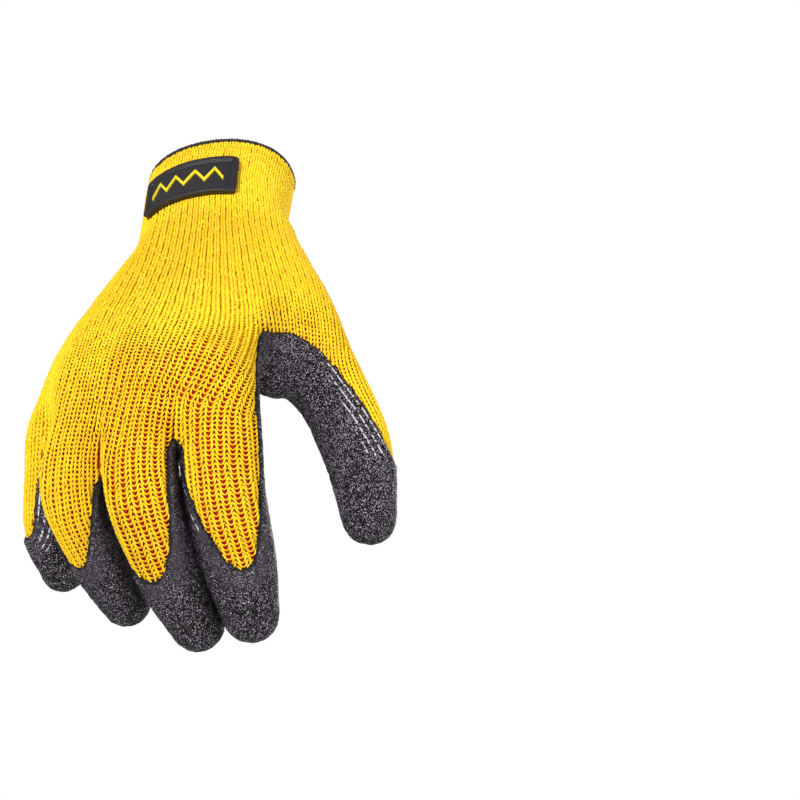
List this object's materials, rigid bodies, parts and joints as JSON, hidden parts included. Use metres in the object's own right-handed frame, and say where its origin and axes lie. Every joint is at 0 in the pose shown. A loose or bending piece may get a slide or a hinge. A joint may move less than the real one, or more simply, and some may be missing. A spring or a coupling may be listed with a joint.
{
  "type": "textured rubber glove",
  "caption": "Right-hand work glove: a knitted liner with ribbed cuff, its palm, thumb and fingertips dipped in crinkled rubber, and a moulded patch at the wrist.",
  "frame": {"origin": "middle of the cuff's opening, in the plane of its hem", "axes": "+Z out of the opening along the cuff, +X on the thumb's side, +Y on the palm's side"},
  "size_m": [0.1354, 0.0963, 0.22],
  "materials": {
    "knit_yarn": "matte knit",
    "rib_yarn": "matte knit",
    "crinkle_rubber": "satin crinkle",
    "hem_thread": "matte",
    "patch_rubber": "satin",
    "zigzag_rubber": "satin"
  },
  "bodies": {
    "root": {"knit_liner": "knit_yarn", "rib_cuff": "rib_yarn", "rubber_coating": "crinkle_rubber", "cuff_hem": "hem_thread", "wrist_patch": "patch_rubber", "patch_zigzag": "zigzag_rubber"}
  },
  "joints": []
}
